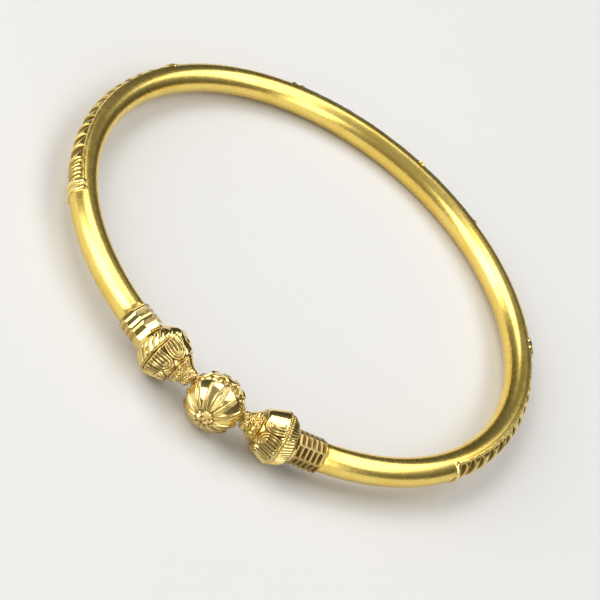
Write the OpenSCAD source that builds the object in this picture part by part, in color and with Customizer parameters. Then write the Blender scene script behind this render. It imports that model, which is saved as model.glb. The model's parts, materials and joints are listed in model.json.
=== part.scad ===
// Kada bangle: an open ring of round rod, closed at the front by a collar and a flower bud on each
// side and a melon ball between them. The ring is drawn in its own plane with the ball at -Y, and is
// then tipped by the small angle at which it rests on a table, on the ball and the back of the rod.

/* [Ring] */
// Clear width across the inside of the rod
wrist_d = 60.3; // [54:0.1:67]
// Thickness of the round rod
rod_d = 3.73; // [3.2:0.05:4.6]

/* [Ball] */
// Diameter of the melon ball over its ridges
ball_d = 7.48; // [6.5:0.05:8.5]
// Distance of the ball's centre outside the rod's centre line
ball_out = 0.7; // [0.3:0.05:1]
// Number of gores round the ball
gores = 12; // [8:1:16]
// Depth of the gores below their ridges
gore_h = 0.24; // [0.1:0.02:0.4]
// Diameter of the rosette at each pole of the ball
rosette_d = 1.6; // [1.2:0.05:2.4]

/* [Buds] */
// Length of a bud from its neck to its foot
bud_l = 6.95; // [6.2:0.05:8.5]
// Diameter of a bud over the ridge at its widest place
bud_d = 7.06; // [6:0.02:7.4]
// Diameter of the bud's neck beside the ball
neck_d = 2.1; // [1.9:0.05:2.6]
// Diameter of the bud's foot beside the collar
foot_d = 4.1; // [3.6:0.05:4.6]
// Number of large petals round a bud
petals = 9; // [6:1:12]
// Height of the large petals
petal_h = 0.24; // [0.1:0.02:0.4]
// Height of the ribs on the cup and the shoulder
rib_h = 0.14; // [0.06:0.02:0.24]

/* [Collars] */
// Length of a collar along the ring
collar_l = 3.7; // [3:0.1:5]
// Width of the eight-sided collar across its flats
collar_w = 4.2; // [3.9:0.05:4.8]
// Number of notches along each flat
notches = 4; // [2:1:6]
// Depth of the notches
notch_h = 0.26; // [0.1:0.02:0.4]

/* [Bands] */
// Number of ornamental bands along the rod
bands = 3; // [1:1:3]
// Length of one band along the ring
band_l = 32.2; // [22:0.2:36]
// Distance from one leaf cut to the next
leaf_pitch = 2.12; // [1.6:0.02:2.6]
// Depth of the leaf cuts
leaf_h = 0.4; // [0.15:0.05:0.6]
// Slant of the leaf cuts away from straight across the rod
leaf_slant = 28; // [0:1:45]
// Length of the finely ribbed tail of a band, with its two cross bars
tail_l = 5.6; // [4:0.2:8]
// Distance from one fine cut to the next in the tail
fine_pitch = 0.66; // [0.5:0.02:1]
// Depth of the fine cuts
fine_h = 0.16; // [0.08:0.02:0.3]
// Height of the cross bars at the ends of a band
bar_h = 0.2; // [0.1:0.02:0.3]
// Width of one cross bar
bar_w = 0.55; // [0.3:0.05:0.7]
// Thickness of the border line along each side of a band
border_w = 0.2; // [0.1:0.02:0.3]

/* [Core wire] */
// Thickness of the hidden wire that carries the ball, buds and collars
wire_d = 1; // [0.8:0.05:1.1]
// Length of the wire inside each end of the rod
socket_l = 4; // [2:0.5:8]
// Clearance between pieces that meet
fit_gap = 0.05; // [0.02:0.01:0.1]

/* [Hidden] */
$fn = 96;
gold = "#c9a13b";
rod_r = rod_d / 2;
ball_r = ball_d / 2;
ring_r = wrist_d / 2 + rod_r;
ball_at = ring_r + ball_out;

// Places along the ring are angles from the ball, towards +X. The bud's straight axis runs from the
// ball's centre to the middle of the collar's inner face, which these lengths fix on the ring.
bud_reach = ball_r + fit_gap + bud_l + fit_gap;
face_r = norm([ring_r, collar_l / 2]);
face_turn = atan2(collar_l / 2, ring_r);
face_a = acos((ball_at ^ 2 + face_r ^ 2 - bud_reach ^ 2) / (2 * ball_at * face_r));
collar_a = face_a + face_turn;
bud_a = atan2(ball_at - face_r * cos(face_a), face_r * sin(face_a));
rod_a = collar_a + asin((collar_l / 2 + fit_gap) / ring_r);
wire_a = rod_a + arc_angle(socket_l);

// Bands are spread so that all plain stretches of rod are equally long
band_a = arc_angle(band_l);
plain_a = (360 - 2 * rod_a - bands * band_a) / (bands + 1);
leaf_l = band_l - tail_l - 2 * bar_w;
leaves = floor(leaf_l / leaf_pitch);
fine_l = tail_l - 4 * bar_w;
fines = floor(fine_l / fine_pitch);
// Half of the angle round the rod's section that a band's border and its bars cover
border_wrap = 62;
bar_wrap = 70;
// Distance between the two bars of a tail, in bar widths
bar_step = 1.9;
// Half of the opening angle of a leaf cut
leaf_open = 62;

// Columns: share of a gore's width, share of the gore's depth
gore_row = [[0, 0], [0.13, 1], [0.35, 0.8], [0.65, 0.8], [0.87, 1]];
// Columns: share of a petal's width, share of the petal's height, share of the rib's height
petal_row = [[0, 0, 0], [0.12, 0.75, 1], [0.3, 1, 1], [0.5, 0.85, 0], [0.7, 1, 1], [0.88, 0.75, 1]];
// Columns: share of the bud's length, share of the way from neck to full radius, petal share, rib share
bud_row = [
    [0, 0, 0, 0], [0.03, 0.06, 0, 0], [0.1, 0.08, 0, 0], [0.13, 0.02, 0, 0],
    [0.17, 0.14, 0, 0.6], [0.25, 0.36, 0, 1], [0.31, 0.5, 0, 0.6], [0.335, 0.5, 0, 0],
    [0.35, 0.42, 0, 0], [0.37, 0.44, 0, 0], [0.385, 0.58, 0, 0], [0.41, 0.6, 0, 0], [0.425, 0.52, 0, 0],
    [0.45, 0.6, 0.5, 0], [0.5, 0.71, 1, 0], [0.56, 0.8, 1, 0], [0.62, 0.86, 1, 0], [0.67, 0.89, 0.9, 0],
    [0.71, 0.89, 0.5, 0], [0.725, 0.89, 0, 0], [0.74, 1, 0, 0], [0.765, 1, 0, 0], [0.785, 0.9, 0, 0]
];
// Columns: share of the way from the last ridge to the foot, share of the way down to the foot, rib share
shoulder_row = [[0.12, 0.06, 0.7], [0.35, 0.28, 1], [0.6, 0.58, 1], [0.85, 0.88, 0.7], [1, 1, 0]];
// Columns: angle from the ball's pole as a share of a right angle, share of the gore's depth
ball_row = [[0.26, 0.5], [0.38, 0.9], [0.5, 1], [0.63, 1], [0.76, 1], [0.88, 1], [1, 1]];

// Place of a bud's widest ridge as a share of its length
belly_share = 0.75;

// Resting on the table: slope of the ring's plane at which ball, buds and rod are all clear of it
belly_x = ball_r + fit_gap + belly_share * bud_l;
belly_y = ball_at - belly_x * sin(bud_a);
rest_slope = max((ball_r - rod_r) / (ring_r + ball_at), (bud_d / 2 - rod_r) / (ring_r + belly_y));
rest_a = asin(rest_slope);
rest_z = rod_r + ring_r * rest_slope;
rest_y = (ball_r - rod_r + ball_out * cos(rest_a)) / 2;

function arc_angle(length) = length / ring_r * 180 / PI;
// Stretch i of plain rod ends in the middle of the bars beside it, or inside a collar
function plain_from(i) = i == 0 ? collar_a : rod_a + i * (plain_a + band_a) - arc_angle(bar_w / 2);
function plain_to(i) = 360 - plain_from(bands - i);
function band_from(i) = rod_a + i * plain_a + (i - 1) * band_a;
function mix(a, b, share) = a + (b - a) * share;
function ring_faces(rows, count) = concat(
    [for (i = [0:rows - 2]) for (j = [0:count - 1]) let (k = (j + 1) % count)
        [i * count + j, (i + 1) * count + j, (i + 1) * count + k, i * count + k]],
    [[for (j = [0:count - 1]) j]],
    [[for (j = [count - 1:-1:0]) (rows - 1) * count + j]]);

module at_rest() {
    translate([0, rest_y, rest_z]) rotate([-rest_a, 0, 0]) children();
}

module on_ring(a) {
    rotate([0, 0, a]) translate([0, -ring_r, 0]) children();
}

// Part of the ring with the section given, between two angles from the ball
module ring_arc(from, to) {
    rotate_extrude(angle = to - from, start = from - 90) translate([ring_r, 0]) children();
}

module wire_bore() {
    ring_arc(-wire_a, wire_a) circle(d = wire_d + 2 * fit_gap);
}

// A straight cut across the outside of the rod, leaning towards the back of the ring
module slant_cut(a, depth) {
    reach = rod_d;
    on_ring(a) translate([0, depth - rod_r, 0]) rotate([0, a < 180 ? leaf_slant : -leaf_slant, 0])
        linear_extrude(height = 2 * reach, center = true)
            polygon([[0, 0], [-reach * tan(leaf_open), -reach], [reach * tan(leaf_open), -reach]]);
}

module cross_bar(a) {
    half = arc_angle(bar_w) / 2;
    ring_arc(a - half, a + half) intersection() {
        circle(r = rod_r + bar_h);
        translate([rod_r * cos(bar_wrap), -rod_d]) square([rod_d, 2 * rod_d]);
    }
}

// A band has one cross bar at its first end and two at its tail
module band_bars(first_a) {
    for (place = [bar_w / 2, band_l - bar_w / 2 - bar_step * bar_w, band_l - bar_w / 2])
        cross_bar(first_a + arc_angle(place));
}

// The rod's own section, with the border line of a band along each side
module band_section() {
    circle(r = rod_r);
    for (side = [-1, 1])
        translate([rod_r * cos(border_wrap), side * rod_r * sin(border_wrap)]) circle(d = border_w);
}

module band_cuts(first_a) {
    for (i = [0:leaves - 1])
        slant_cut(first_a + arc_angle(2 * bar_w + leaf_l / 2 + (i - (leaves - 1) / 2) * leaf_pitch), leaf_h);
    for (i = [0:fines - 1])
        slant_cut(first_a + arc_angle(band_l - tail_l + (i + 0.5) * fine_pitch), fine_h);
}

// The eight-sided block has an edge at the top and one outwards from the ring
module collar_block(half_l) {
    rotate([0, 90, 0]) cylinder(h = 2 * half_l, d = collar_w / cos(22.5), center = true, $fn = 8);
}

// One straight notch across a flat, with its edge on the collar's axis side
module notch(x, turn) {
    reach = collar_w / 2;
    open = collar_l / notches / 2;
    rotate([turn, 0, 0]) translate([x, 0, reach])
        rotate([90, 0, 0]) linear_extrude(height = 2 * reach, center = true)
            polygon([[0, -notch_h], [open, 0], [open, notch_h], [-open, notch_h], [-open, 0]]);
}

module collar() {
    pitch = collar_l / notches;
    difference() {
        on_ring(collar_a) difference() {
            collar_block(collar_l / 2);
            for (side = [0:7]) for (i = [0:notches - (side % 2)])
                if (side % 2 == 1 || i < notches)
                    notch((i - (notches - 1 + side % 2) / 2) * pitch, (side + 0.5) * 45);
        }
        wire_bore();
    }
}

// A bud lies along +X from the ball's centre, with -Y outwards from the ring
function bud_radius(row, part) =
    mix(neck_d / 2, bud_d / 2, row[1]) + row[2] * petal_h * part[1] + row[3] * rib_h * part[2];
function bud_section(x, radius) = [
    for (i = [0:petals - 1]) for (k = [0:len(petal_row) - 1])
        let (turn = 90 + (i + petal_row[k][0]) * 360 / petals)
            [x, -radius[k] * sin(turn), radius[k] * cos(turn)]];

module bud_body() {
    start = ball_r + fit_gap;
    last = bud_row[len(bud_row) - 1];
    last_r = mix(neck_d / 2, bud_d / 2, last[1]);
    over = foot_d / 4;
    sections = concat(
        [for (row = bud_row)
            bud_section(start + row[0] * bud_l, [for (part = petal_row) bud_radius(row, part)])],
        [for (row = shoulder_row)
            bud_section(start + mix(last[0], 1, row[0]) * bud_l,
                [for (part = petal_row) mix(last_r, foot_d / 2, row[1]) + row[2] * rib_h * part[2]])],
        [bud_section(start + bud_l + over, [for (part = petal_row) foot_d / 2])]);
    polyhedron([for (section = sections) for (p = section) p],
        ring_faces(len(sections), petals * len(petal_row)));
}

module bud() {
    difference() {
        translate([0, -ball_at, 0]) rotate([0, 0, bud_a]) bud_body();
        on_ring(collar_a) translate([-collar_l / 2 - fit_gap, -bud_d, -bud_d])
            cube([bud_d, 2 * bud_d, 2 * bud_d]);
        wire_bore();
    }
}

// The ball's poles point outwards from the ring and towards the wrist
function ball_section(pole_a, radius) = [
    for (i = [0:gores - 1]) for (k = [0:len(gore_row) - 1])
        let (turn = (i + gore_row[k][0]) * 360 / gores)
            radius[k] * [sin(pole_a) * sin(turn), -cos(pole_a), sin(pole_a) * cos(turn)]];

module ball_body() {
    rim_a = asin(rosette_d / ball_d);
    plain = [for (part = gore_row) ball_r];
    waist = [for (part = gore_row) ball_r - gore_h];
    outer = concat(
        [ball_section(rim_a / 2, plain), ball_section(rim_a, plain), ball_section(rim_a * 1.12, waist)],
        [for (row = ball_row)
            ball_section(row[0] * 90, [for (part = gore_row) ball_r - gore_h * row[1] * part[1]])]);
    inner = [for (i = [len(outer) - 2:-1:0]) [for (p = outer[i]) [p[0], -p[1], p[2]]]];
    sections = concat(outer, inner);
    polyhedron([for (section = sections) for (p = section) p],
        ring_faces(len(sections), gores * len(gore_row)));
}

module ring_rod() {
    color(gold) at_rest() difference() {
        union() {
            for (i = [0:bands]) ring_arc(plain_from(i), plain_to(i)) circle(r = rod_r);
            for (i = [1:bands]) {
                ring_arc(plain_to(i - 1), plain_from(i)) band_section();
                band_bars(band_from(i));
            }
        }
        for (i = [1:bands]) band_cuts(band_from(i));
        for (side = [0, 1]) mirror([side, 0, 0]) {
            on_ring(collar_a) translate([-rod_d, -rod_d, -rod_d])
                cube([rod_d + collar_l / 2 + fit_gap, 2 * rod_d, 2 * rod_d]);
            ring_arc(0, wire_a + arc_angle(fit_gap)) circle(d = wire_d + 2 * fit_gap);
        }
    }
}

module right_collar() {
    color(gold) at_rest() collar();
}

module left_collar() {
    color(gold) at_rest() mirror([1, 0, 0]) collar();
}

module right_bud() {
    color(gold) at_rest() bud();
}

module left_bud() {
    color(gold) at_rest() mirror([1, 0, 0]) bud();
}

module centre_ball() {
    color(gold) at_rest() difference() {
        translate([0, -ball_at, 0]) ball_body();
        wire_bore();
    }
}

module core_wire() {
    color(gold) at_rest() ring_arc(-wire_a, wire_a) circle(d = wire_d);
}

ring_rod();
left_collar();
right_collar();
left_bud();
right_bud();
centre_ball();
core_wire();
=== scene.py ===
import json
import math

import bpy
import numpy as np
from mathutils import Matrix, Vector


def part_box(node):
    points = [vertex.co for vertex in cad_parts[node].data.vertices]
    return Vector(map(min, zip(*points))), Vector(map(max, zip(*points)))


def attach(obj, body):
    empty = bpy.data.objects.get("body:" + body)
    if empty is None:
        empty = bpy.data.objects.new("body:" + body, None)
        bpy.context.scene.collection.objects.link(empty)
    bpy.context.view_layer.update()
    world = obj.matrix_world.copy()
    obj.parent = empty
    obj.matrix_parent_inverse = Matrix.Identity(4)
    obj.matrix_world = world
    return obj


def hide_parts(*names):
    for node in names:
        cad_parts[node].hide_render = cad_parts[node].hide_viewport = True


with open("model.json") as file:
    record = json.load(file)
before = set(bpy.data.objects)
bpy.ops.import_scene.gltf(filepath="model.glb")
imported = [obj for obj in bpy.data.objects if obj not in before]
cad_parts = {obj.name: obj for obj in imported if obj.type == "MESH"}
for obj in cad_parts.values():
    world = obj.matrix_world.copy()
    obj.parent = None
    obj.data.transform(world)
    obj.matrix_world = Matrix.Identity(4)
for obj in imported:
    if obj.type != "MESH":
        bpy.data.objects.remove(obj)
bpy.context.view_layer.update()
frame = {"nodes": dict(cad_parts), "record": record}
print("frame loaded:", sorted(frame["nodes"]))

# lengths are in millimetres, unless a note says metres, and the meshes are made in metres
mm = 0.001
mount = frame["record"]["mounts"][0]
ballLow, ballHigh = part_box("centre_ball")

bangle = {
    "rodThick": 3.73,
    "ballOut": 0.7,        # how far the ball's middle stands outside the rod's middle line
    "budLong": 6.95,
    "collarLong": 3.7,
    "collarWide": 4.2,     # across the flats
    "wireThick": 1.0,
    "socketLong": 4.0,
    "gap": 0.05,
}

rodRadius = bangle["rodThick"] / 2
ballRadius = (ballHigh.x - ballLow.x) / 2 / mm
ringRadius = mount["dims"]["r_mm"] + rodRadius
ballAt = ringRadius + bangle["ballOut"]
boreRadius = bangle["wireThick"] / 2 + bangle["gap"]

# the collar's inner face, seen from the ball's middle, gives the bud's straight axis
budReach = ballRadius + bangle["budLong"] + 2 * bangle["gap"]
faceReach = math.hypot(ringRadius, bangle["collarLong"] / 2)
faceTurn = math.atan2(bangle["collarLong"] / 2, ringRadius)
faceAngle = math.acos((ballAt**2 + faceReach**2 - budReach**2) / (2 * ballAt * faceReach))
budTurn = math.atan2(ballAt - faceReach * math.cos(faceAngle), faceReach * math.sin(faceAngle))
collarAngle = math.degrees(faceAngle + faceTurn)
rodStart = collarAngle + math.degrees(math.asin((bangle["collarLong"] / 2 + bangle["gap"]) / ringRadius))


def ringDegrees(length):
    return math.degrees(length / ringRadius)


# the ring's own directions: across to the right, back from the ball, up from its plane
ringUp = np.array(mount["axis"])
ringAcross = np.array([1.0, 0.0, 0.0])
ringBack = np.cross(ringUp, ringAcross)
ringMiddle = np.array(mount["pos_m"])


def toWorld(points):
    points = np.asarray(points, float) * mm
    return (ringMiddle + points[..., 0:1] * ringAcross + points[..., 1:2] * ringBack
            + points[..., 2:3] * ringUp)


def ease(value, low, high):
    share = np.clip((value - low) / (high - low), 0, 1)
    return share * share * (3 - 2 * share)


def crest(distance, halfWidth):
    return np.exp(-(distance / halfWidth) ** 2)


# waves, each with its pace in both directions, its share of the seed and its start
slowWaves = ((1.7, 2, 1, 0), (2.9, -1, 2, 1), (0.9, 3, 0, 5))


def uneven(a, b, seed):
    # from -1 to 1, so that repeated work looks done by hand
    waves = [np.sin(paceA * a + paceB * b + share * seed + start)
             for paceA, paceB, share, start in slowWaves]
    return sum(waves) / len(slowWaves)


def cavity(height, passes, deep):
    # how far each place lies under the average of the places round it, from 0 to 1
    smooth = height.copy()
    for _ in range(passes):
        smooth = (2 * smooth + np.roll(smooth, 1, 1) + np.roll(smooth, -1, 1)) / 4
        smooth[1:-1] = (2 * smooth[1:-1] + smooth[:-2] + smooth[2:]) / 4
    return np.clip((smooth - height) / deep, 0, 1)


def turnedBy(points, angle):
    # points turned about the upright axis, by an angle in radians
    c, s = math.cos(angle), math.sin(angle)
    x, y = points[..., 0], points[..., 1]
    return np.stack([x * c - y * s, x * s + y * c, points[..., 2]], -1)


def skin(name, rings, marks, mirrored=False):
    # one closed surface from rings of points, each end closed by a fan round its middle
    rings = np.asarray(rings, float)
    if mirrored:
        rings = rings * [-1, 1, 1]
    count, around = rings.shape[:2]
    points = toWorld(np.concatenate([rings.reshape(-1, 3), [rings[0].mean(0), rings[-1].mean(0)]]))
    row, column = np.meshgrid(np.arange(count - 1), np.arange(around), indexing="ij")
    following = (column + 1) % around
    quads = np.stack([row * around + column, (row + 1) * around + column,
                      (row + 1) * around + following, row * around + following], -1).reshape(-1, 4)
    edge = np.arange(around)
    nextEdge = (edge + 1) % around
    lastRing = (count - 1) * around
    startMiddle = count * around
    startFan = np.stack([np.full(around, startMiddle), edge, nextEdge], -1)
    endFan = np.stack([np.full(around, startMiddle + 1), lastRing + nextEdge, lastRing + edge], -1)
    # faces that look inwards are turned round
    corners = points[quads[:, [0, 1, 2]]]
    volume = np.einsum("ij,ij->i", corners[:, 0], np.cross(corners[:, 1], corners[:, 2])).sum()
    if volume < 0:
        quads, startFan, endFan = quads[:, ::-1], startFan[:, ::-1], endFan[:, ::-1]
    mesh = bpy.data.meshes.new(name)
    mesh.from_pydata(points, [], quads.tolist() + startFan.tolist() + endFan.tolist())
    mesh.polygons.foreach_set("use_smooth", np.ones(len(mesh.polygons), bool))
    for mark, values in marks.items():
        values = np.asarray(values, np.float32)
        kind, field, size = ("FLOAT", "value", 1) if values.ndim == 2 else ("FLOAT_VECTOR", "vector", 3)
        values = values.reshape(count * around, size)
        if mirrored and size == 3:
            values = values * np.array([-1, 1, 1], np.float32)
        ends = np.stack([values[:around].mean(0), values[-around:].mean(0)])
        attribute = mesh.attributes.new(mark, kind, "POINT")
        attribute.data.foreach_set(field, np.concatenate([values, ends]).ravel())
    mesh.update()
    piece = bpy.data.objects.new(name, mesh)
    bpy.context.scene.collection.objects.link(piece)
    print("made", name, len(mesh.polygons), "faces")
    return piece


def finishPiece(piece, material, slot, *nodes):
    piece.data.materials.append(material)
    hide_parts(*nodes)
    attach(piece, "root")


# camera

view = {
    "place": (-16.63, -327.25, 239.31),    # from the ring's middle, in the ring's own directions
    "right": (0.79267, 0.33484, 0.50946),
    "up": (-0.60795, 0.49649, 0.61960),
    "lens": 192,
    "sensor": 36,
    "clip": (0.01, 20),    # in metres
}


def makeCamera():
    data = bpy.data.cameras.new("camera")
    data.lens = view["lens"]
    data.sensor_width = view["sensor"]
    data.sensor_fit = "HORIZONTAL"
    data.clip_start, data.clip_end = view["clip"]
    camera = bpy.data.objects.new("camera", data)
    bpy.context.scene.collection.objects.link(camera)
    place = toWorld([view["place"]])[0]
    towards = [toWorld([view[side]])[0] - ringMiddle for side in ("right", "up")]
    right, up = (Vector(side).normalized() for side in towards)
    back = right.cross(up)
    camera.matrix_world = Matrix((
        (right.x, up.x, back.x, place[0]),
        (right.y, up.y, back.y, place[1]),
        (right.z, up.z, back.z, place[2]),
        (0, 0, 0, 1)))
    bpy.context.scene.camera = camera
    print("camera at", [round(value, 3) for value in place])


makeCamera()

# gold

goldLooks = {
    "satin_gold": {
        "colour": (0.92, 0.70, 0.19),
        # the next colour is painted shade, laid where a piece marks its recesses and its shaded places
        "paintedShadeColour": (0.16, 0.10, 0.016),
        "patchColour": (0.87, 0.63, 0.14),
        "paintedSheenColour": (0.95, 0.76, 0.30),   # painted sheen where the tool left it polished
        "roughness": (0.24, 0.29),     # smoothest and dullest places
        "grainSize": (4.5, 0.5),       # how fine the grain is along the rod and round it
        "grainHeight": 0.0004,         # bump heights in millimetres
        "scratchHeight": 0.0003,
        "filedHeight": 0.03,           # where the ends of the rod were filed to meet the collars
    },
    "bright_gold": {
        "colour": (0.94, 0.745, 0.31),
        "paintedShadeColour": (0.17, 0.10, 0.035),
        "patchColour": (0.92, 0.68, 0.21),
        "paintedSheenColour": (0.94, 0.745, 0.31),
        "roughness": (0.07, 0.18),
        "grainSize": (2.0, 2.0),
        "grainHeight": 0.0016,
        "scratchHeight": 0.0015,
        "filedHeight": 0,
    },
}


# the marks of both golds: how fine their noise is, for each millimetre, and its detail
goldMarks = {
    "patches": (0.22, 3),
    "smears": (0.8, 4),
    "grain": (1.6, 5),
    "scratches": (5.5, 2),
    "file marks": (1.1, 3),
}

# the range that each is read over, and what it gives
goldRanges = {
    "patches": (0.42, 0.68, 0, 1),           # share of the patch colour
    "smears": (0.25, 0.8),                   # from the smoothest roughness to the dullest
    "grain": (0.3, 0.75, 0.94, 1.06),        # times the roughness
    "paintedShade": (0, 1, 0, 0.3),                # added to it
    "shine": (0, 1, 1, 0.62),                # times it
}


def addNode(tree, kind, **settings):
    node = tree.nodes.new(kind)
    for setting, value in settings.items():
        if hasattr(node, setting):
            setattr(node, setting, value)
        else:
            node.inputs[setting].default_value = value
    return node


def addNoise(tree, place, name, size, detail):
    noise = addNode(tree, "ShaderNodeTexNoise", label=name, Scale=size, Detail=detail)
    tree.links.new(place, noise.inputs["Vector"])
    return noise.outputs["Fac"]


def addRange(tree, value, low, high, toLow, toHigh):
    spread = addNode(tree, "ShaderNodeMapRange")
    for place, number in zip(("From Min", "From Max", "To Min", "To Max"), (low, high, toLow, toHigh)):
        spread.inputs[place].default_value = number
    tree.links.new(value, spread.inputs["Value"])
    return spread.outputs["Result"]


def addMath(tree, operation, *values):
    node = addNode(tree, "ShaderNodeMath", operation=operation)
    for place, value in enumerate(values):
        tree.links.new(value, node.inputs[place])
    return node.outputs[0]


def addMix(tree, factor, first, second):
    mix = addNode(tree, "ShaderNodeMix", data_type="RGBA")
    tree.links.new(factor, mix.inputs["Factor"])
    for socket, value in (("A", first), ("B", second)):
        sockets = [entry for entry in mix.inputs if entry.name == socket and entry.type == "RGBA"]
        if isinstance(value, tuple):
            sockets[0].default_value = (*value, 1)
        else:
            tree.links.new(value, sockets[0])
    return [entry for entry in mix.outputs if entry.type == "RGBA"][0]


def addBump(tree, height, high, under=None):
    bump = addNode(tree, "ShaderNodeBump", Strength=1, Distance=high * mm)
    tree.links.new(height, bump.inputs["Height"])
    if under:
        tree.links.new(under, bump.inputs["Normal"])
    return bump.outputs["Normal"]


def readMark(tree, mark, output="Fac"):
    return addNode(tree, "ShaderNodeAttribute", attribute_name=mark).outputs[output]


def newMaterial(name):
    material = bpy.data.materials.new(name)
    material.use_nodes = True
    tree = material.node_tree
    return material, tree, tree.nodes["Principled BSDF"]


def makeGold(name):
    looks = goldLooks[name]
    material, tree, shader = newMaterial(name)
    shader.inputs["Metallic"].default_value = 1
    grainPlace = readMark(tree, "grain", "Vector")
    paintedShade = readMark(tree, "paintedShade")
    shine = readMark(tree, "shine")
    fineAlong, fineRound = looks["grainSize"]
    stretch = addNode(tree, "ShaderNodeMapping", Scale=(fineAlong, fineRound, fineRound))
    tree.links.new(grainPlace, stretch.inputs["Vector"])
    stretched = stretch.outputs["Vector"]

    places = {"patches": grainPlace, "smears": grainPlace, "grain": stretched, "scratches": stretched}
    marks = {mark: addNoise(tree, place, mark, *goldMarks[mark]) for mark, place in places.items()}

    patched = addRange(tree, marks["patches"], *goldRanges["patches"])
    colour = addMix(tree, patched, looks["colour"], looks["patchColour"])
    # painted sheen: a paler colour on the polished bars and ridges, which are also smoother
    colour = addMix(tree, shine, colour, looks["paintedSheenColour"])
    # painted shade: the dark colour wherever a piece marks shade, in its recesses and on shaded faces
    colour = addMix(tree, paintedShade, colour, looks["paintedShadeColour"])
    tree.links.new(colour, shader.inputs["Base Color"])

    smeared = addRange(tree, marks["smears"], *goldRanges["smears"], *looks["roughness"])
    grained = addRange(tree, marks["grain"], *goldRanges["grain"])
    sunk = addRange(tree, paintedShade, *goldRanges["paintedShade"])
    dull = addMath(tree, "MULTIPLY_ADD", smeared, grained, sunk)
    rough = addMath(tree, "MULTIPLY", dull, addRange(tree, shine, *goldRanges["shine"]))
    tree.links.new(rough, shader.inputs["Roughness"])

    normal = addBump(tree, marks["grain"], looks["grainHeight"])
    normal = addBump(tree, marks["scratches"], looks["scratchHeight"], normal)
    if looks["filedHeight"]:
        fileMarks = addNoise(tree, grainPlace, "file marks", *goldMarks["file marks"])
        filed = addMath(tree, "MULTIPLY", fileMarks, readMark(tree, "filed"))
        normal = addBump(tree, filed, looks["filedHeight"], normal)
    tree.links.new(normal, shader.inputs["Normal"])
    return material


satinGold = makeGold("satin_gold")
brightGold = makeGold("bright_gold")
print("gold mixed")

# the rod and its three bands

bands = {
    "count": 3,
    "long": 32.2,
    # how much further round the ring each band's two ends lie than with equal spacing
    "moved": ((0.95, 0.0), (0.7, -0.5), (-0.6, 0.7)),
    "endSoft": 0.1,
    "firstLeaf": 0.85,
    "leafPitch": 2.12,
    "leafDeep": 0.25,
    # painted shade in the leaf cuts
    "leafDark": 0.88,
    "leafRim": 0.09,       # depth from which a cut gets painted shade
    "leafDarkens": 0.7,    # below 1, the painted shade grows soon under the rim
    "leafWide": 1.72,
    "leafReach": 1.9,      # how far a leaf cut runs up and down from the outermost line
    "leafLean": 16,
    "tailLong": 5.6,
    "tailBlend": 0.5,
    "finePitch": 0.66,
    "fineDeep": 0.13,
    "fineWide": 0.86,      # as shares of the pitch, and of a leaf's reach and lean
    "fineReach": 0.95,
    "fineLean": 0.4,
    "barWide": 0.6,
    "barHigh": 0.2,
    "barStep": 1.9,        # from one bar of the tail to the next, in bar widths
    "barRoom": 2.5,        # what the tail's two bars take, in bar widths
    "barWrap": 70,
    "barEnds": (14, 5),    # degrees before and past the wrap over which a bar ends
    "barEdge": (0.75, 1.05),
    "barRound": 0.7,
    "barSwell": 0.12,      # how much higher it is at its ends
    "barSwellFrom": 35,
    "barWander": (0.05, 2.6),    # how far a bar strays, and at what pace
    "chevron": 0.16,
    "borderWrap": 62,
    "borderWide": 0.15,
    "borderHigh": 0.08,
    "borderUneven": 0.3,
    "groundWrap": (59, 63),
    "groundDeep": 0.06,
    "groundRough": 0.035,
    "groundCalm": 0.35,    # share of the roughness between the leaves
    "groundPaces": ((3.1, 2.3, 3), (7.3, -4.7, 1)),
    "ridgeShine": 0.35,    # how polished the ridges between the cuts are, where the bars have 1: smoother, and paler with painted sheen
    "lump": (1, 10.75, 0.4, 0.26),   # on which band, its place, half width and height
    "lumpWrap": (34, 46, 66, 72),
}

# how much the cuts of a row differ from each other, in shares of what is named, and how blunt they are
leafCut = {
    "chances": ((12.9, 1), (7.7, 2), (4.1, 3)),
    "place": 0.09,
    "lean": 0.13,
    "reach": 0.06,
    "width": 0.13,
    "depth": 0.15,
    "lopsided": 0.15,
    "outline": 4.5,
    "floor": 4,
    "runOut": 1.6,
}

rodGrid = {
    "fineStep": 0.115,     # along the bands
    "plainStep": 0.6,
    "margin": 0.35,        # how far the fine steps go on past a band
    "outerPoints": 64,     # round the decorated outer side
    "innerPoints": 28,
    "outerWrap": 76,
    "edgeRound": 0.1,
    "edgeShare": 0.3,
    "filed": (0.9, 3.0),   # how far from both ends the file marks begin to fade, and are gone
    "cavity": (10, 0.3),   # how many times the height is smoothed, and the depth that gets full painted shade
}

bandDegrees = ringDegrees(bands["long"])
plainDegrees = (360 - 2 * rodStart - bands["count"] * bandDegrees) / (bands["count"] + 1)
bandStarts = [rodStart + plainDegrees * (i + 1) + bandDegrees * i for i in range(bands["count"])]


def leafRow(along, upward, lean, first, pitch, count, wide, reach, deep):
    # depth of a row of slanting leaf-shaped cuts, each a little different as they were cut by hand
    place = along - first - lean * upward
    nearest = np.round(place / pitch)
    depth = np.zeros_like(place)
    for index in (nearest - 1, nearest, nearest + 1):
        chance = [np.sin(pace * index + start) for pace, start in leafCut["chances"]]
        leaning = leafCut["lean"] * chance[1] * upward / reach
        offset = place - index * pitch + pitch * (leafCut["place"] * chance[0] - leaning)
        away = np.abs(upward / (reach * (1 + leafCut["reach"] * chance[2])))
        room = np.clip(1 - away ** leafCut["outline"], 0, 1)
        half = np.maximum(wide / 2 * (1 + leafCut["width"] * chance[1]) * room, 1e-4)
        share = np.clip(np.abs(offset - leafCut["lopsided"] * half) / half, 0, 1)
        cut = (1 + leafCut["depth"] * chance[0]) * (1 - share ** leafCut["floor"])
        cut = cut * np.clip(room * leafCut["runOut"], 0, 1)
        depth = np.maximum(depth, np.where((index >= 0) & (index < count), cut, 0))
    return deep * depth


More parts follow.
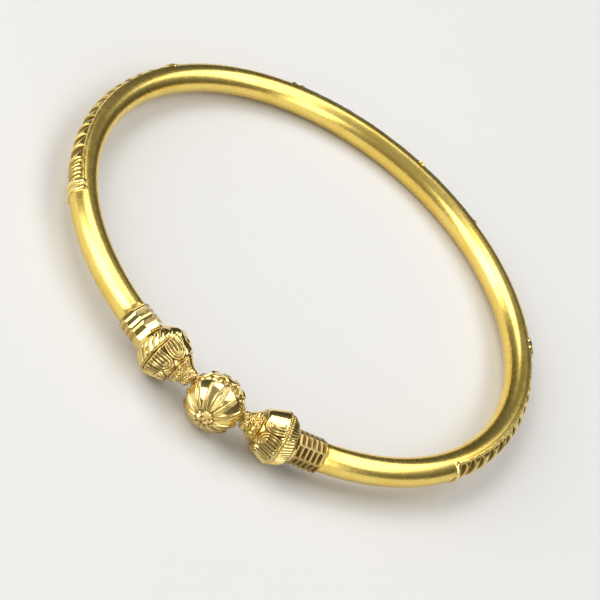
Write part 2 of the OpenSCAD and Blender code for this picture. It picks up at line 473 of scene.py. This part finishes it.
def bandCuts(along, upward, lean, long):
    # depths of the large leaves and of the tail's fine ones
    leafCount = int((long - bands["tailLong"] - bands["firstLeaf"]) / bands["leafPitch"] + 0.5)
    leaves = leafRow(along, upward, lean, bands["firstLeaf"], bands["leafPitch"], leafCount,
                     bands["leafWide"], bands["leafReach"], bands["leafDeep"])
    firstFine = long - bands["tailLong"] + bands["finePitch"] / 2
    fineCount = int((bands["tailLong"] - bands["barRoom"] * bands["barWide"]) / bands["finePitch"])
    fine = leafRow(along, upward, lean * bands["fineLean"], firstFine, bands["finePitch"], fineCount,
                   bands["finePitch"] * bands["fineWide"], bands["leafReach"] * bands["fineReach"],
                   bands["fineDeep"])
    return leaves, fine


def bandBars(along, upward, side, long):
    # how much of each place is bar, and how high the bar is there: one at the start and two in the tail
    wide = bands["barWide"]
    before, past = bands["barEnds"]
    wrap = 1 - ease(side, bands["barWrap"] - before, bands["barWrap"] + past)
    swell = 1 + bands["barSwell"] * ease(side, bands["barSwellFrom"], bands["barWrap"])
    stray, pace = bands["barWander"]
    tailBar = long - wide / 2
    for place, way in ((wide / 2, 1), (tailBar - wide * bands["barStep"], -1), (tailBar, -1)):
        wander = stray * np.sin(pace * upward + place)
        offset = along - place + way * bands["chevron"] * (np.abs(upward) - 1) + wander
        share = np.abs(offset) / wide * 2
        inBar = (1 - ease(share, *bands["barEdge"])) * wrap
        rounded = np.sqrt(np.clip(1 - bands["barRound"] * share**2, 0, 1))
        yield inBar, bands["barHigh"] * swell * rounded


def bandRelief(along, phi, lean, long, lump):
    # height over the plain rod, and how polished it is, which makes it smoother and paints a paler sheen,
    # for places along a band and round the section
    upward = np.radians(phi) * rodRadius
    side = np.abs(phi)
    inBand = ease(along, 0, bands["endSoft"]) * ease(long - along, 0, bands["endSoft"])
    strip = inBand * (1 - ease(side, *bands["groundWrap"]))
    leaves, fine = bandCuts(along, upward, lean, long)
    flat = 1 - np.clip(leaves / bands["leafDeep"] * 2, 0, 1)
    rough = sum(uneven(a * along, b * upward, seed) for a, b, seed in bands["groundPaces"])
    tailFrom = long - bands["tailLong"]
    inTail = ease(along, tailFrom - bands["tailBlend"], tailFrom + bands["tailBlend"])
    calm = bands["groundCalm"]
    rough = bands["groundRough"] * rough * flat * (calm + (1 - calm) * inTail)
    height = (rough - bands["groundDeep"]) * strip - leaves - fine
    border = crest(side - bands["borderWrap"], np.degrees(bands["borderWide"] / rodRadius))
    wavy = 1 + bands["borderUneven"] * uneven(1.3 * along, 0, 2)
    height += inBand * wavy * bands["borderHigh"] * border
    if lump:
        place, half, high = lump
        rise, top, fall, foot = bands["lumpWrap"]
        height += high * crest(along - place, half) * ease(phi, rise, top) * (1 - ease(phi, fall, foot))
    shine = bands["ridgeShine"] * strip * flat
    for inBar, barHeight in bandBars(along, upward, side, long):
        height = height * (1 - inBar) + inBar * barHeight
        shine = np.maximum(shine, inBar)
    return height, shine


def rodStations():
    # angles round the ring, close together along the bands
    margin = rodGrid["margin"]
    stops = [rodStart]
    for start, (early, late) in zip(bandStarts, bands["moved"]):
        begin = start + ringDegrees(early - margin)
        end = start + bandDegrees + ringDegrees(late + margin)
        spans = ((stops[-1], begin, rodGrid["plainStep"]), (begin, end, rodGrid["fineStep"]))
        for low, high, step in spans:
            steps = int(math.ceil((high - low) / ringDegrees(step)))
            stops += list(np.linspace(low, high, steps + 1)[1:])
    steps = int(math.ceil((360 - rodStart - stops[-1]) / ringDegrees(rodGrid["plainStep"])))
    return np.array(stops + list(np.linspace(stops[-1], 360 - rodStart, steps + 1)[1:]))


def rodRelief(angle, phi):
    # the three bands at their places round the ring, each leaning towards the back
    height, shine = np.zeros_like(angle), np.zeros_like(angle)
    lean = math.tan(math.radians(bands["leafLean"]))
    leaning = np.where(angle < 180, lean, -lean)
    for index, (start, (early, late)) in enumerate(zip(bandStarts, bands["moved"])):
        along = np.radians(angle - start) * ringRadius - early
        long = bands["long"] - early + late
        near = (along > -rodGrid["margin"]) & (along < long + rodGrid["margin"])
        lump = bands["lump"][1:] if bands["lump"][0] == index else None
        bandHeight, bandShine = bandRelief(along, phi, leaning, long, lump)
        height = np.where(near, bandHeight, height)
        shine = np.where(near, bandShine, shine)
    return height, shine


def rodEnd(mouth, way):
    # (angle, radius) from the socket's floor out to the rounded edge at one end of the rod
    edge = rodGrid["edgeRound"]
    share = rodGrid["edgeShare"]
    return [(mouth + way * ringDegrees(bangle["socketLong"]), boreRadius),
            (mouth, boreRadius),
            (mouth, rodRadius - edge),
            (mouth + way * ringDegrees(edge) * share, rodRadius - edge * share)]


def makeRod():
    wrap = rodGrid["outerWrap"]
    outer = np.linspace(-wrap, wrap, rodGrid["outerPoints"])
    inner = np.linspace(wrap, 360 - wrap, rodGrid["innerPoints"] + 2)[1:-1]
    phi = np.concatenate([outer, inner])
    phi = np.where(phi > 180, phi - 360, phi)
    stations = rodStations()
    angle, around = np.meshgrid(stations, phi, indexing="ij")
    height, shine = rodRelief(angle, around)
    radius = rodRadius + height
    angle[0] += ringDegrees(rodGrid["edgeRound"])
    angle[-1] -= ringDegrees(rodGrid["edgeRound"])
    before, after = rodEnd(stations[0], 1), rodEnd(stations[-1], -1)[::-1]
    first, last = [np.repeat(np.array(end)[:, None], len(phi), 1) for end in (before, after)]
    angle = np.concatenate([first[..., 0], angle, last[..., 0]])
    radius = np.concatenate([first[..., 1], radius, last[..., 1]])
    height, shine = [np.pad(values, ((len(before), len(after)), (0, 0))) for values in (height, shine)]
    around = np.broadcast_to(np.radians(phi), angle.shape)
    turn = np.radians(angle)
    reach = ringRadius + radius * np.cos(around)
    rings = np.stack([reach * np.sin(turn), -reach * np.cos(turn), radius * np.sin(around)], -1)
    grain = np.stack([turn * ringRadius, rodRadius * np.cos(around), rodRadius * np.sin(around)], -1)
    # painted shade: darker in the rod's recesses, and most in the leaf cuts
    rim = bands["leafRim"]
    sunk = np.clip((-height - rim) / (bands["leafDeep"] - rim), 0, 1) ** bands["leafDarkens"]
    paintedShade = np.clip(cavity(height, *rodGrid["cavity"]) + bands["leafDark"] * sunk, 0, 1)
    fromEnd = np.radians(np.minimum(angle - rodStart, 360 - rodStart - angle)) * ringRadius
    filed = 1 - ease(fromEnd, *rodGrid["filed"])
    marks = {"grain": grain, "paintedShade": paintedShade, "filed": filed, "shine": shine}
    finishPiece(skin("ring_rod_gold", rings, marks), satinGold, "satin_gold", "ring_rod")


makeRod()

# the melon ball

ball = {
    "gores": 12,
    "goreDeep": 0.22,
    # width of the leaf-shaped strip between two gores, where it is widest
    "stripWidths": (0.85, 0.5, 0.45, 0.3, 0.55, 0.4, 0.3, 0.6, 0.45, 0.3, 0.5, 0.16),
    "stripFrom": 14,       # degrees from the pole
    "stripLong": 74,
    "stripEnds": 0.25,     # share of its width that it has at both ends
    "stripEdge": 0.06,
    "stripHigh": 0.03,
    # painted shade on the strips between the gores and along the seam between the halves
    "stripDark": 0.34,
    "seamDark": 0.45,
    "seamDarkWide": 7,     # degrees
    "lineHigh": 0.13,      # the raised lines along both sides of a strip
    "lineWide": 0.075,
    "tipDegrees": 82,      # where the gores end, from the pole
    "tipRound": 7,
    "seamWide": 2.6,
    "seamDeep": 0.16,
    "beads": 24,           # small tips between the two halves
    "beadHigh": 0.22,
    "beadWide": 3.2,
    "beadSharp": 0.6,
    "cavity": (9, 0.06),
    "rows": 200,
    "pointsPerGore": 32,
}

# the little flower on each pole, with uneven lobes round a middle dot
flower = {
    "lobes": 5,
    "lobeAt": 0.72,
    "lobeWide": 0.33,
    "lobeLong": 1.45,      # in widths
    "lobeHigh": 0.3,
    "lobeUneven": (0.12, 0.2, 0.25),   # in place, height and width
    "turned": 12,          # degrees
    "sway": 9,
    "wide": 1.22,
    "blend": (-0.14, 0.08),
    "sunk": 0.06,
    "dotHigh": 0.4,        # share of a lobe's height
    "dotWide": 0.17,
    "dentDeep": 0.35,
    "dentWide": 0.09,
    "dentFrom": (-0.2, 0.4),
    # painted shade round the flower
    "dark": 0.5,
    "darkRings": ((1.22, 0.14), (0.33, 0.1)),   # its rings: distance from the pole, and width
}


def ballHalf(pole, turn):
    # radius of one half, how far a place is beyond its gore's rounded end, and whether it is on a strip
    step = 360 / ball["gores"]
    nearest = np.round(turn / step)
    offset = np.abs(turn - nearest * step)
    width = np.array(ball["stripWidths"])[nearest.astype(int) % ball["gores"]]
    across = np.radians(offset) * np.sin(np.radians(pole)) * ballRadius
    flat = (ballRadius - ball["goreDeep"]) / np.cos(np.radians(step / 2 - offset))
    swell = np.sin(np.pi * np.clip((pole - ball["stripFrom"]) / ball["stripLong"], 0, 1))
    half = width / 2 * (ball["stripEnds"] + (1 - ball["stripEnds"]) * swell)
    lines = crest(across - half, ball["lineWide"])
    strip = 1 - ease(across, half, half + ball["stripEdge"])
    tip = ball["tipDegrees"] - ball["tipRound"] * (1 - 2 * offset / step) ** 2
    return flat + ball["stripHigh"] * strip + ball["lineHigh"] * lines, pole - tip, strip


def flowerHeight(nearPole, turn):
    x, y = nearPole * np.sin(np.radians(turn)), nearPole * np.cos(np.radians(turn))
    height = flower["dotHigh"] * crest(nearPole, flower["dotWide"])
    unevenPlace, unevenHigh, unevenWide = flower["lobeUneven"]
    for lobe in range(flower["lobes"]):
        chance = math.sin(2.3 * lobe + 1)
        turned = 360 / flower["lobes"] * lobe + flower["turned"] + flower["sway"] * math.sin(2.9 * lobe)
        angle = math.radians(turned)
        reach = flower["lobeAt"] * (1 + unevenPlace * math.sin(1.7 * lobe))
        outwards = x * math.sin(angle) + y * math.cos(angle) - reach
        sideways = x * math.cos(angle) - y * math.sin(angle)
        away = (np.abs(outwards / flower["lobeLong"]) ** 3 + np.abs(sideways) ** 3) ** (1 / 3)
        shape = (1 + unevenHigh * chance) * crest(away, flower["lobeWide"] * (1 + unevenWide * chance))
        dent = flower["dentDeep"] * crest(sideways, flower["dentWide"])
        height = np.maximum(height, shape - dent * ease(outwards, *flower["dentFrom"]))
    return height * flower["lobeHigh"]


def makeBall():
    pole = np.linspace(0, 180, ball["rows"] + 1)[1:-1]
    turn = np.linspace(0, 360, ball["gores"] * ball["pointsPerGore"], endpoint=False)
    pole, turn = np.meshgrid(pole, turn, indexing="ij")
    seam = ballRadius - ball["goreDeep"] - ball["seamDeep"]
    radius = np.full_like(pole, seam)
    shade = np.zeros_like(pole)
    # the second half's gores stand between those of the first
    for half, turned in ((pole, turn), (180 - pole, turn + 180 / ball["gores"])):
        shape, past, strip = ballHalf(half, turned)
        share = 1 - ease(past, -ball["seamWide"] / 2, ball["seamWide"] / 2)
        radius = radius + np.where(half < 90, (shape - seam) * share, 0)
        shade = shade + np.where(half < 90, strip * share, 0) * ball["stripDark"]
    bead = np.abs(np.cos(np.radians(turn) * ball["beads"] / 2)) ** ball["beadSharp"]
    radius = radius + ball["beadHigh"] * bead * crest(pole - 90, ball["beadWide"])
    nearPole = np.radians(np.minimum(pole, 180 - pole)) * ballRadius
    inside, outside = [flower["wide"] + reach for reach in flower["blend"]]
    inFlower = 1 - ease(nearPole, inside, outside)
    flowerRadius = ballRadius - ball["goreDeep"] - flower["sunk"] + flowerHeight(nearPole, turn)
    radius = radius * (1 - inFlower) + inFlower * flowerRadius
    a, b = np.radians(pole), np.radians(turn)
    rings = radius[..., None] * np.stack([np.sin(a) * np.sin(b), -np.cos(a), np.sin(a) * np.cos(b)], -1)
    grain = rings.copy()
    rings[..., 1] -= ballAt
    # painted shade on the strips, along the seam and round the flower, and in the recesses
    shade = shade * (1 - inFlower) + ball["seamDark"] * crest(pole - 90, ball["seamDarkWide"])
    shade += flower["dark"] * sum(crest(nearPole - place, width) for place, width in flower["darkRings"])
    paintedShade = np.clip(cavity(radius, *ball["cavity"]) + shade, 0, 1)
    piece = skin("centre_ball_gold", rings, {"grain": grain, "paintedShade": paintedShade})
    finishPiece(piece, brightGold, "bright_gold", "centre_ball")


makeBall()

# the flower buds

bud = {
    # place along the bud from its neck, and radius under the relief
    "outline": ((0, 1.0), (0.7, 1.15), (0.98, 1.26), (1.9, 1.98), (2.2, 2.08), (2.6, 2.36), (4.4, 3.1),
                (5.1, 3.33), (5.6, 3.18), (6.2, 2.86), (6.7, 2.5), (6.95, 2.26)),
    "rings": ((0.98, 0.05, 0.1), (1.93, 0.075, 0.17), (2.16, 0.1, -0.12)),   # place, width, height
    "ringFaint": 0.25,     # share of their height on the wrist side
    # loops at the neck and petals on the cup: how many, their middle, half length along the bud, half
    # width as a share of their room, size and width of their outline, and height
    "loops": {"count": 8, "at": 0.5, "long": 0.34, "wide": 0.46, "line": (0.82, 0.24), "high": 0.17},
    "cup": {"count": 14, "at": 1.44, "long": 0.4, "wide": 0.48, "line": (0.85, 0.17), "high": 0.15},
    "cupSeed": 0.36,       # width of the grain in the middle of a cup petal
    "petals": 8,
    "petalTurn": 27,       # middle of the first petal, degrees from straight up towards the outside
    "petalSway": 1.2,
    "petalFrom": 2.32,
    "petalTo": 4.88,
    "petalHalf": 21.6,     # degrees
    "petalRound": 0.42,    # share of its length that the rounded end takes
    "petalPinch": 0.2,     # how much narrower it is at the other end
    "petalPower": 2.2,     # 2 would make the rounded end an ellipse
    "petalHigh": 0.22,
    "petalEdge": 0.16,
    "petalEnds": (0.06, 0.04),       # length over which the work rises at the cup and falls at the ridge
    "petalThick": 1.1,     # from a petal's outline in to its middle
    "veins": (0.1, 0.47, 0.9),       # raised lines, by their distance in from the outline
    "veinHigh": 0.19,
    "veinWide": 0.08,
    "ridgeAt": 5.06,
    "ridgeHigh": 0.19,
    "ridgeWide": 0.2,
    "ropeLow": 0.35,       # height between the strands, as a share of the rope's
    "ropeLean": 1.7,
    "pairLines": (0.75, 0.42),       # how far the plain ridge's two lines lie from its middle, and width
    "pairGroove": (0.5, 0.3),        # depth and width
    "strokeFrom": 5.32,
    "strokeTo": 6.7,
    "strokeHigh": 0.17,
    "strokeEnds": (0.08, 0.82),      # shares of its length where a stroke is full, and where it sinks
    "strokeCurve": 1.4,
    "wander": (0.04, 1.4, 0.14),   # how much the work strays along, in degrees round, and in height
    "lumpsFrom": (2.2, 2.8),
    "workEnds": (85, 93),  # degrees from the outer side's middle where the work begins to fade, and ends
    "cavity": (8, 0.05),
    "smoothed": 4,         # times
    "rows": 200,
    "pointsAround": 312,
}

# the two buds were finished by hand and differ, so each has its own strokes and its own plain wrist side:
# the plain values are degrees by which the plain side of each row of work is wider than half the bud
budSides = {
    "right": {"plainNeck": -12, "plainPetals": 25, "plainRidge": -100, "plainShoulder": -35, "slab": 0.24,
              "strokes": 48, "strokeSkew": 12, "strokeSharp": 0.8, "roped": 1, "lumps": 0, "seed": 1},
    "left": {"plainNeck": 3, "plainPetals": 3, "plainRidge": 20, "plainShoulder": 3, "slab": 0.2,
             "strokes": 20, "strokeSkew": 24, "strokeSharp": 0.7, "roped": 0, "lumps": 0.055, "seed": 5},
}


def decorated(turn, plainUpTo):
    # 1 on the outer side of the bud and 0 on the wrist side
    away = np.abs((turn + 90) % 360 - 180)
    fades, ends = bud["workEnds"]
    return 1 - ease(away, fades - plainUpTo, ends - plainUpTo)


def budLoop(along, turn, row):
    # 0 in the middle of the nearest loop or cup petal, and about 1 where its room ends
    place = turn / 360 * row["count"]
    return np.hypot((along - row["at"]) / row["long"], (place - np.round(place)) / row["wide"])


def petalInward(along, turn):
    # distance in from the nearest petal's outline, below 0 outside all petals
    step = 360 / bud["petals"]
    place = (turn - bud["petalTurn"]) / step
    index = np.round(place)
    sway = bud["petalSway"] * np.sin(index % bud["petals"] * 2.4)
    away = np.abs((place - index) * step + sway)
    share = (along - bud["petalFrom"]) / (bud["petalTo"] - bud["petalFrom"])
    half = bud["petalHalf"] * (1 - bud["petalPinch"] * np.clip((share - 0.5) / 0.5, 0, 1) ** 2)
    end = np.clip(1 - share / bud["petalRound"], 0, None)
    power = bud["petalPower"]
    return bud["petalThick"] * (1 - (end**power + (away / half) ** power) ** (1 / power))


def neckRelief(along, turn, side):
    # rings, small loops and cup petals between the ball and the large petals
    neck = decorated(turn, side["plainNeck"])
    faint = bud["ringFaint"]
    height = np.zeros_like(along)
    for place, width, high in bud["rings"]:
        height = height + high * crest(along - place, width) * (faint + (1 - faint) * neck)
    loops, cup = bud["loops"], bud["cup"]
    size, line = loops["line"]
    height = height + neck * loops["high"] * crest(budLoop(along, turn, loops) - size, line)
    size, line = cup["line"]
    leaf = budLoop(along, turn, cup)
    return height + neck * cup["high"] * np.maximum(crest(leaf - size, line), crest(leaf, bud["cupSeed"]))


def petalRelief(along, turn, side):
    # petals with nested veins, and the plain slab towards the wrist
    outer = decorated(turn, side["plainPetals"])
    inward = petalInward(along, turn)
    rise, fall = bud["petalEnds"]
    ends = 1 - ease(along, bud["petalTo"] - fall, bud["petalTo"])
    ends = ends * ease(along, bud["petalFrom"], bud["petalFrom"] + rise)
    veins = sum(crest(inward - vein, bud["veinWide"]) for vein in bud["veins"]) * bud["veinHigh"]
    petal = bud["petalHigh"] * ease(inward, 0, bud["petalEdge"]) + veins
    return ends * (petal * outer + side["slab"] * (1 - outer))


def ridgeRelief(along, turn, side):
    # the widest ridge, roped on one bud and a pair of plain lines on the other
    slope = (along - bud["ridgeAt"]) / bud["ridgeWide"]
    if side["roped"]:
        twist = np.abs(np.cos(np.radians(turn) * side["strokes"] / 2 + slope * bud["ropeLean"]))
        ridge = crest(slope, 1) * (bud["ropeLow"] + (1 - bud["ropeLow"]) * twist)
    else:
        apart, width = bud["pairLines"]
        deep, grooveWidth = bud["pairGroove"]
        lines = crest(slope + apart, width) + crest(slope - apart, width)
        ridge = lines - deep * crest(slope, grooveWidth)
    return bud["ridgeHigh"] * ridge * decorated(turn, side["plainRidge"])


def strokeRelief(along, turn, side):
    # leaf strokes on the shoulder
    share = (along - bud["strokeFrom"]) / (bud["strokeTo"] - bud["strokeFrom"])
    curved = np.clip(share, 0, 1) ** bud["strokeCurve"]
    skewed = np.radians(turn) + math.radians(side["strokeSkew"]) * curved
    stroke = np.abs(np.cos(skewed * side["strokes"] / 2)) ** side["strokeSharp"]
    full, sinks = bud["strokeEnds"]
    inStrokes = ease(share, 0, full) * (1 - ease(share, sinks, 1)) * decorated(turn, side["plainShoulder"])
    return bud["strokeHigh"] * inStrokes * stroke


def makeBud(name, mirrored):
    side = budSides[name]
    along = np.linspace(0, bangle["budLong"], bud["rows"] + 1)
    turn = np.linspace(-180, 180, bud["pointsAround"], endpoint=False)
    along, turn = np.meshgrid(along, turn, indexing="ij")
    outline = np.array(bud["outline"])
    base = np.interp(along, outline[:, 0], outline[:, 1])
    for _ in range(bud["smoothed"]):
        base[1:-1] = (base[:-2] + 2 * base[1:-1] + base[2:]) / 4
    around, seed = np.radians(turn), side["seed"]
    strayAlong, strayRound, strayHigh = bud["wander"]
    workAlong = along + strayAlong * uneven(2 * along, 3 * around, seed)
    workTurn = turn + strayRound * uneven(along, 2 * around, seed + 2)
    reliefs = (neckRelief, petalRelief, ridgeRelief, strokeRelief)
    relief = sum(make(workAlong, workTurn, side) for make in reliefs)
    worked = decorated(turn, side["plainPetals"])
    relief = relief * (1 + strayHigh * worked * uneven(2 * along, 3 * around, seed + 4))
    lumps = uneven(1.3 * along, 4 * around, seed) + 0.6 * uneven(3 * along, -7 * around, seed + 1)
    relief = relief + side["lumps"] * (1 - worked) * lumps * ease(along, *bud["lumpsFrom"])
    radius = base + relief
    # the two end faces are drilled for the core wire
    bore = np.full((1, turn.shape[1]), boreRadius)
    along = np.concatenate([along[:1], along, along[-1:]])
    radius = np.concatenate([bore, radius, bore])
    relief = np.concatenate([relief[:1] * 0, relief, relief[-1:] * 0])
    around = np.radians(np.concatenate([turn[:1], turn, turn[-1:]]))
    x = ballRadius + bangle["gap"] + along
    y = -radius * np.sin(around)
    # the shoulder leans over until the foot lies flat against the collar
    bend = math.radians(collarAngle) - budTurn
    stretch = np.clip((along - bud["strokeFrom"]) / (bangle["budLong"] - bud["strokeFrom"]), 0, 1) ** 2
    x = x - y * math.tan(bend) * stretch
    local = np.stack([x, y, radius * np.cos(around)], -1)
    rings = turnedBy(local, budTurn) - np.array([0, ballAt, 0])
    # painted shade in the recesses of the relief
    marks = {"grain": local, "paintedShade": cavity(relief, *bud["cavity"])}
    piece = skin(name + "_bud_gold", rings, marks, mirrored)
    finishPiece(piece, brightGold, "bright_gold", name + "_bud")


makeBud("right", False)
makeBud("left", True)

# the notched collars

collar = {
    "sides": 8,
    "endEdge": 0.07,
    "cornerRadius": 2.2,   # the corners between the flats are rounded off at this radius
    "sharpFrom": 18,       # degrees between two faces from which their edge stays sharp
    "pointsPerSide": 20,
    "steps": 90,
    "notches": 5,          # on each flat of the right collar
    "notchFrom": 0.15,
    "notchPitch": 0.69,
    "notchMiddle": 0.4,    # how far a notch's middle lies from its first edge, in pitches
    "runOutFrom": 0.05,
    "spotWide": 0.55,      # of the dark spot in a notch, and how far it strays, in shares of half the flat
    "spotStray": 0.4,
}

# the right collar's notches have hollow floors, and the left collar has three V cuts of uneven width:
# each pair is a place from the bud's side and a share of the depth
notchSides = ((0, 0), (0.12, 0.75), (0.27, 1), (0.41, 0.75), (0.53, 0))
rightCuts = [(collar["notchFrom"] + collar["notchPitch"] * i + place, depth)
             for i in range(collar["notches"]) for place, depth in notchSides]
leftCuts = [(0, 0.1), (0.85, 1), (1.42, 0), (1.76, 1), (2.0, 0), (2.42, 1), (2.92, 0), (3.3, 1), (3.7, 0)]

collarSides = {
    "right": {
        "cuts": rightCuts,
        "shift": 0.2,          # how far the cuts move on every second flat
        "deep": 0.2,
        "turned": -9,          # the whole collar, in degrees
        "scoop": 0.3,          # share of half a flat over which a notch runs out at each of its ends
        "rim": 0.16,           # left uncut at both ends of the collar
        # painted shade in the cut floors, growing with their depth
        "floorDark": 0.95,
        "spotted": 0.75,       # how much of the floors' painted shade gathers in one spot of each notch
        "faceDark": 0,         # painted shade on the faces towards the ball
        "dull": 0.62,          # painted shade over all the rest, which also makes it rougher
    },
    "left": {
        "cuts": leftCuts,
        "shift": 0.3,
        "deep": 0.14,
        "turned": -5,
        "scoop": 0,            # cut right across
        "rim": 0,
        "floorDark": 0.1,
        "spotted": 0,
        "faceDark": 0.45,
        "dull": 0,
    },
}


def collarDepth(x, moved, side):
    places, depths = np.array(side["cuts"]).T
    depth = side["deep"] * np.interp(x - moved, places, depths)
    half, rim = bangle["collarLong"] / 2, side["rim"]
    if rim:
        depth = depth * (1 - ease(np.abs(x - half), half - rim, half - rim * 0.5))
    return depth


def floorDark(flat, x, moved, share, sunk, side):
    # painted shade in a flat's cuts, from how deep they are sunk and how far off their dark spots lie
    notch = (x - moved - collar["notchFrom"]) / collar["notchPitch"] - collar["notchMiddle"]
    middle = collar["spotStray"] * np.sin(2.3 * np.round(notch)[:, None] + 1.9 * flat)
    spot = crest(share - middle, collar["spotWide"])
    return side["floorDark"] * (1 - side["spotted"] * (1 - spot)) * (sunk / side["deep"]) ** 2


def collarFlat(flat, x, side):
    # points and painted shade of one flat, with its length along x
    step = 2 * math.pi / collar["sides"]
    apothem = bangle["collarWide"] / 2
    share = (np.arange(collar["pointsPerSide"]) / collar["pointsPerSide"] * 2 - 1)[None, :]
    moves = (side["shift"], 0) if flat % 2 == 0 else (0, side["shift"])
    depth, otherDepth = [collarDepth(x, moved, side) for moved in moves]
    # how far along the flat its two borders with its neighbours lie, and where its cuts run out
    if side["scoop"]:
        reach = np.full_like(depth, apothem * math.tan(step / 2))
        cut = ease(1 - np.abs(share), collar["runOutFrom"], side["scoop"])
    else:
        reach = (apothem - otherDepth - (apothem - depth) * math.cos(step)) / math.sin(step)
        cut = np.ones_like(share)
    across = share * reach[:, None]
    sunk = depth[:, None] * cut
    # painted shade in the cuts, on the faces towards the ball, and over the rest
    towardsBall = np.gradient(depth) < -0.001
    dark = floorDark(flat, x, moves[0], share, sunk, side) + side["faceDark"] * towardsBall[:, None]
    a = (flat + 0.5) * step + math.radians(side["turned"])
    out = apothem - sunk
    points = np.stack([np.broadcast_to(x[:, None], across.shape),
                       -(out * math.sin(a) + across * math.cos(a)),
                       out * math.cos(a) - across * math.sin(a)], -1)
    return points, np.clip(side["dull"] + dark, 0, 1)


def makeCollar(name, mirrored):
    side = collarSides[name]
    x = np.linspace(0, bangle["collarLong"], collar["steps"] + 1)
    flats = [collarFlat(flat, x, side) for flat in range(collar["sides"])]
    body, dark = [np.concatenate(parts, 1) for parts in zip(*flats)]
    size = np.linalg.norm(body[..., 1:], axis=-1, keepdims=True)
    body[..., 1:] *= np.minimum(1, collar["cornerRadius"] / size)
    # small edges at both ends, and the hole for the core wire
    edge = collar["endEdge"]
    first, last = body[:1].copy(), body[-1:].copy()
    body[0, :, 0] += edge
    body[-1, :, 0] -= edge
    bores = []
    for end in (first, last):
        end[..., 1:] *= 1 - edge / (bangle["collarWide"] / 2)
        bore = end.copy()
        bore[..., 1:] *= boreRadius / np.linalg.norm(end[..., 1:], axis=-1, keepdims=True)
        bores.append(bore)
    local = np.concatenate([bores[0], first, body, last, bores[1]])
    local[..., 0] -= bangle["collarLong"] / 2
    rings = turnedBy(local - np.array([0, ringRadius, 0]), math.radians(collarAngle))
    # the painted shade of the flats, with none on the end rings
    marks = {"grain": local, "paintedShade": np.pad(dark, ((2, 2), (0, 0)))}
    piece = skin(name + "_collar_gold", rings, marks, mirrored)
    piece.data.set_sharp_from_angle(angle=math.radians(collar["sharpFrom"]))
    finishPiece(piece, brightGold, "bright_gold", name + "_collar")


makeCollar("right", False)
makeCollar("left", True)

# the hidden wire keeps its own mesh and gets a drawn brass look

wireLooks = {
    "colour": (0.62, 0.45, 0.18),
    "darkColour": (0.45, 0.30, 0.10),
    "roughness": (0.3, 0.45),
    "streaks": (900, 4),       # how fine they are, for each metre, and their detail
    "streakRange": (0.3, 0.7),
}


def dressWire():
    material, tree, shader = newMaterial("plain_brass")
    shader.inputs["Metallic"].default_value = 1
    place = addNode(tree, "ShaderNodeTexCoord").outputs["Object"]
    streaks = addNoise(tree, place, "drawing marks", *wireLooks["streaks"])
    colour = addMix(tree, streaks, wireLooks["colour"], wireLooks["darkColour"])
    tree.links.new(colour, shader.inputs["Base Color"])
    rough = addRange(tree, streaks, *wireLooks["streakRange"], *wireLooks["roughness"])
    tree.links.new(rough, shader.inputs["Roughness"])
    wire = frame["nodes"]["core_wire"]
    wire.data.materials.clear()
    wire.data.materials.append(material)


dressWire()
print("ornaments made")

# floor and light

studio = {
    "floorColour": (0.70, 0.69, 0.67),
    "floorShade": 0.95,        # how dark the clouded places are, of the floor's colour
    "floorClouds": (9, 3),     # how fine they are, for each metre, and their detail
    "floorRoughness": 0.75,
    "floorWide": 3.0,          # in metres
    "worldColour": (1.0, 0.98, 0.94),
    "worldStrength": (0.06, 0.32),          # away from the pale side, and towards it
    "worldPaleSide": (0.0, -0.35, 0.94),
    "worldRange": (0, 0.95),
    # name, direction in degrees from the back towards the right, height in degrees, distance,
    # width and height of the panel in metres, brightness
    "lamps": (
        ("left", -112, 29, 1.0, (0.72, 1.0), 4.2),
        ("leftOver", -56, 54, 1.0, (0.62, 0.46), 3.3),
        ("overhead", 62, 57, 1.0, (1.3, 0.5), 2.6),
        ("right", 136, 26, 1.0, (0.42, 0.8), 2.4),
    ),
}


def makeFloor():
    half = studio["floorWide"] / 2
    corners = [(-half, -half, 0), (half, -half, 0), (half, half, 0), (-half, half, 0)]
    mesh = bpy.data.meshes.new("floor")
    mesh.from_pydata(corners, [], [(0, 1, 2, 3)])
    floor = bpy.data.objects.new("floor", mesh)
    bpy.context.scene.collection.objects.link(floor)
    material, tree, shader = newMaterial("floor")
    shader.inputs["Roughness"].default_value = studio["floorRoughness"]
    place = addNode(tree, "ShaderNodeTexCoord").outputs["Object"]
    cloudy = addNoise(tree, place, "cloudy", *studio["floorClouds"])
    shade = tuple(value * studio["floorShade"] for value in studio["floorColour"])
    tree.links.new(addMix(tree, cloudy, studio["floorColour"], shade), shader.inputs["Base Color"])
    mesh.materials.append(material)


def makeWorld():
    # darker behind the ring, and paler above it and in front
    world = bpy.data.worlds.new("studio")
    bpy.context.scene.world = world
    world.use_nodes = True
    tree = world.node_tree
    background = tree.nodes["Background"]
    background.inputs["Color"].default_value = (*studio["worldColour"], 1)
    side = addNode(tree, "ShaderNodeVectorMath", operation="DOT_PRODUCT")
    side.inputs[1].default_value = studio["worldPaleSide"]
    tree.links.new(addNode(tree, "ShaderNodeTexCoord").outputs["Generated"], side.inputs[0])
    strength = addRange(tree, side.outputs["Value"], *studio["worldRange"], *studio["worldStrength"])
    tree.links.new(strength, background.inputs["Strength"])


def makeLights():
    for name, azimuth, height, distance, size, brightness in studio["lamps"]:
        azimuth, height = math.radians(azimuth), math.radians(height)
        level = math.cos(height)
        direction = Vector((level * math.sin(azimuth), level * math.cos(azimuth), math.sin(height)))
        data = bpy.data.lights.new(name, "AREA")
        data.shape = "RECTANGLE"
        data.size, data.size_y = size
        data.energy = brightness * math.pi * size[0] * size[1]
        lamp = bpy.data.objects.new(name, data)
        bpy.context.scene.collection.objects.link(lamp)
        lamp.location = direction * distance
        lamp.rotation_euler = (-direction).to_track_quat("-Z", "Y").to_euler()
    bpy.context.scene.view_settings.view_transform = "Standard"


makeFloor()
makeWorld()
makeLights()
print("floor and lights set")
